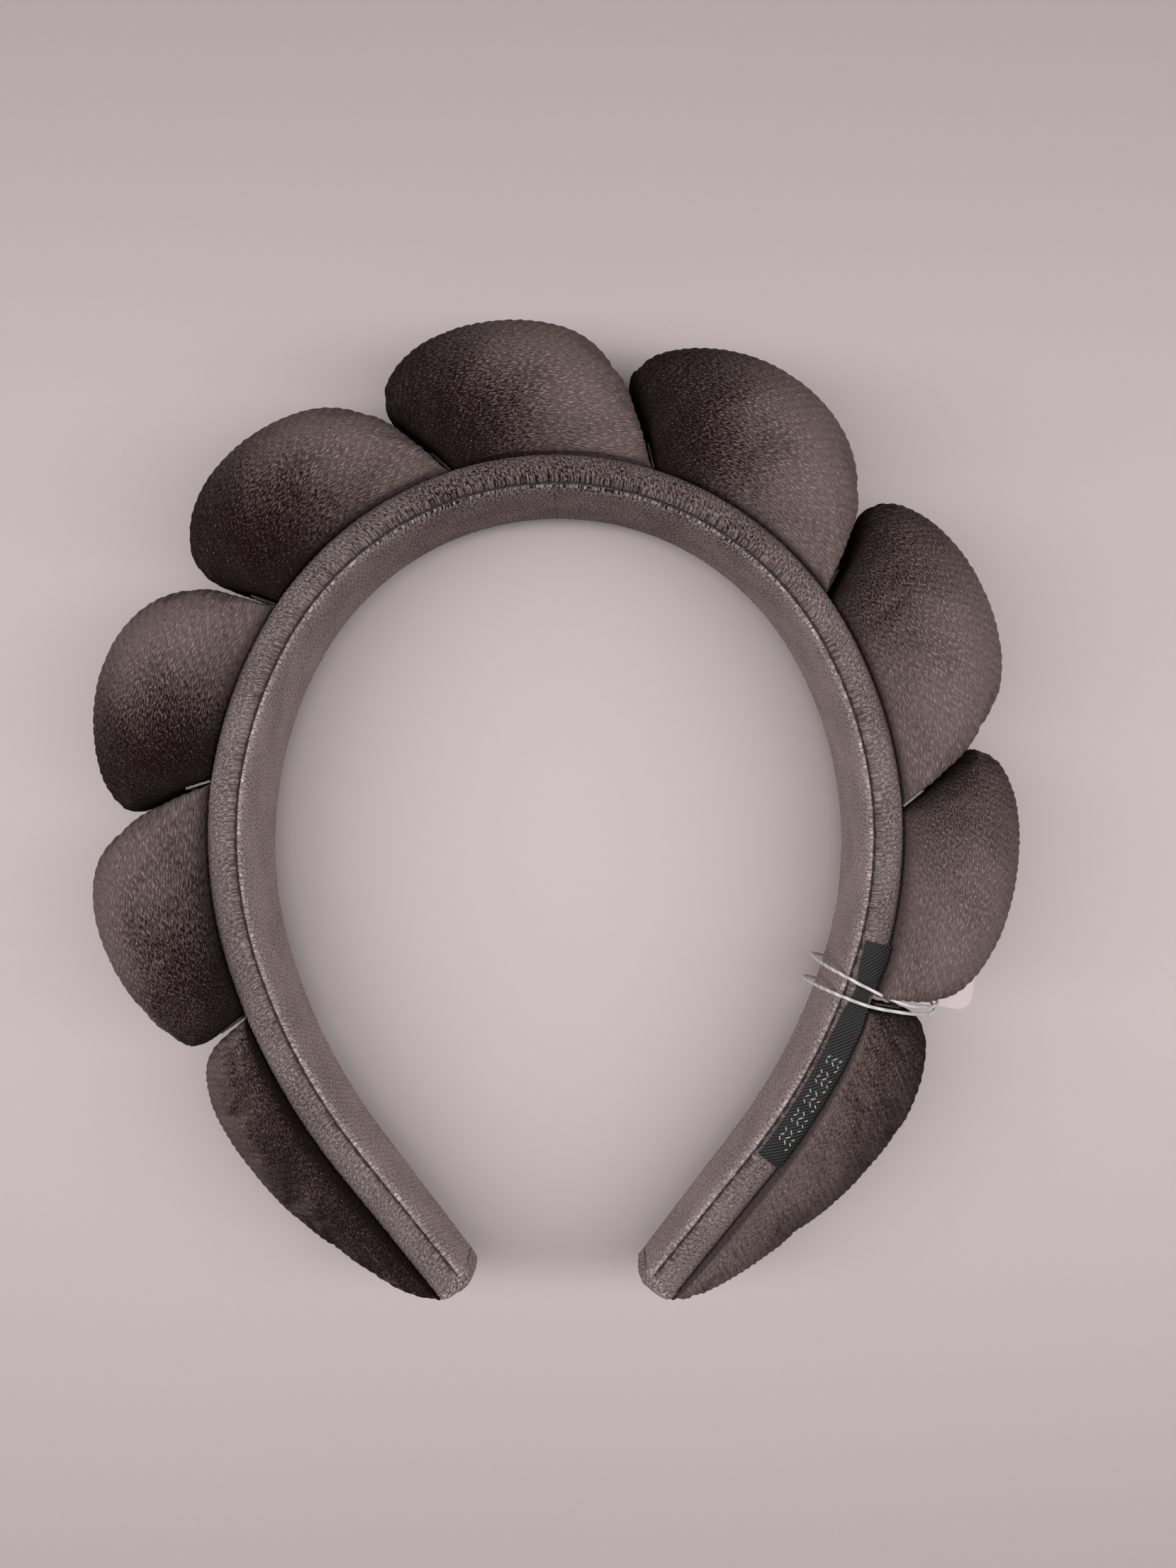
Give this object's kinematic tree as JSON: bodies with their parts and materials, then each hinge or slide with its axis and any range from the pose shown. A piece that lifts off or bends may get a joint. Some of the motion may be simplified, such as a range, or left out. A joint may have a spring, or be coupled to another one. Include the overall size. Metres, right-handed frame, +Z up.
{
  "type": "spa headband",
  "caption": "Sprung headband with a padded velour band and a row of gathered puffs round its outside, open at the nape.",
  "frame": {"origin": "on the table under the middle of the headband as it lies on its edge, without its tag", "axes": "+Z up, along the band's width; +Y from the open tips to the crown; +X to the side of the label"},
  "size_m": [0.1762, 0.1894, 0.0419],
  "materials": {
    "velour_puffs": "ribbed knit velour with a silvery nap",
    "velour_band": "ribbed knit velour, pile brushed across the band",
    "velour_lining": "ribbed knit velour, short pile",
    "puff_filling": "white polyester wadding",
    "padding_foam": "soft open foam",
    "backing_felt": "pressed felt",
    "hoop_plastic": "moulded spring plastic",
    "seam_thread": "dark spun sewing thread",
    "clear_thread": "clear nylon thread",
    "label_tape": "black woven satin tape",
    "label_thread": "black sewing thread",
    "tag_card": "laminated card",
    "tag_string": "twisted white cotton"
  },
  "bodies": {
    "crown": {"hoop_crown": "hoop_plastic", "padding_crown": "padding_foam", "felt_backing_crown": "backing_felt", "band_sleeve_crown": "velour_band", "lining_crown": "velour_lining", "seam_thread_crown": "seam_thread", "puff_cover_4": "velour_puffs", "puff_cover_5": "velour_puffs", "puff_cover_6": "velour_puffs", "puff_fill_4": "puff_filling", "puff_fill_5": "puff_filling", "puff_fill_6": "puff_filling", "gather_thread_3": "clear_thread", "gather_thread_4": "clear_thread", "gather_thread_5": "clear_thread", "gather_thread_6": "clear_thread"},
    "left_arm": {"hoop_left": "hoop_plastic", "padding_left": "padding_foam", "felt_backing_left": "backing_felt", "band_sleeve_left": "velour_band", "lining_left": "velour_lining", "seam_thread_left": "seam_thread", "tip_fold_left": "velour_band", "puff_cover_1": "velour_puffs", "puff_cover_2": "velour_puffs", "puff_cover_3": "velour_puffs", "puff_fill_1": "puff_filling", "puff_fill_2": "puff_filling", "puff_fill_3": "puff_filling", "gather_thread_1": "clear_thread", "gather_thread_2": "clear_thread"},
    "right_arm": {"hoop_right": "hoop_plastic", "padding_right": "padding_foam", "felt_backing_right": "backing_felt", "band_sleeve_right": "velour_band", "lining_right": "velour_lining", "seam_thread_right": "seam_thread", "tip_fold_right": "velour_band", "puff_cover_7": "velour_puffs", "puff_cover_8": "velour_puffs", "puff_cover_9": "velour_puffs", "puff_fill_7": "puff_filling", "puff_fill_8": "puff_filling", "puff_fill_9": "puff_filling", "gather_thread_7": "clear_thread", "gather_thread_8": "clear_thread", "woven_label": "label_tape", "label_tacks": "label_thread", "tag_card": "tag_card", "tag_string": "tag_string", "string_knot": "tag_string"}
  },
  "joints": [
    {"name": "left_flex", "type": "hinge", "parent": "crown", "child": "left_arm", "pos_m": [-0.04748, 0.04065, 0.0205], "axis": [0, 0, -1], "range_deg": [-4, 15], "stiffness_Nm_per_rad": 1.3},
    {"name": "right_flex", "type": "hinge", "parent": "crown", "child": "right_arm", "pos_m": [0.04687, 0.04065, 0.0205], "axis": [0, 0, 1], "range_deg": [-4, 15], "stiffness_Nm_per_rad": 1.3}
  ]
}
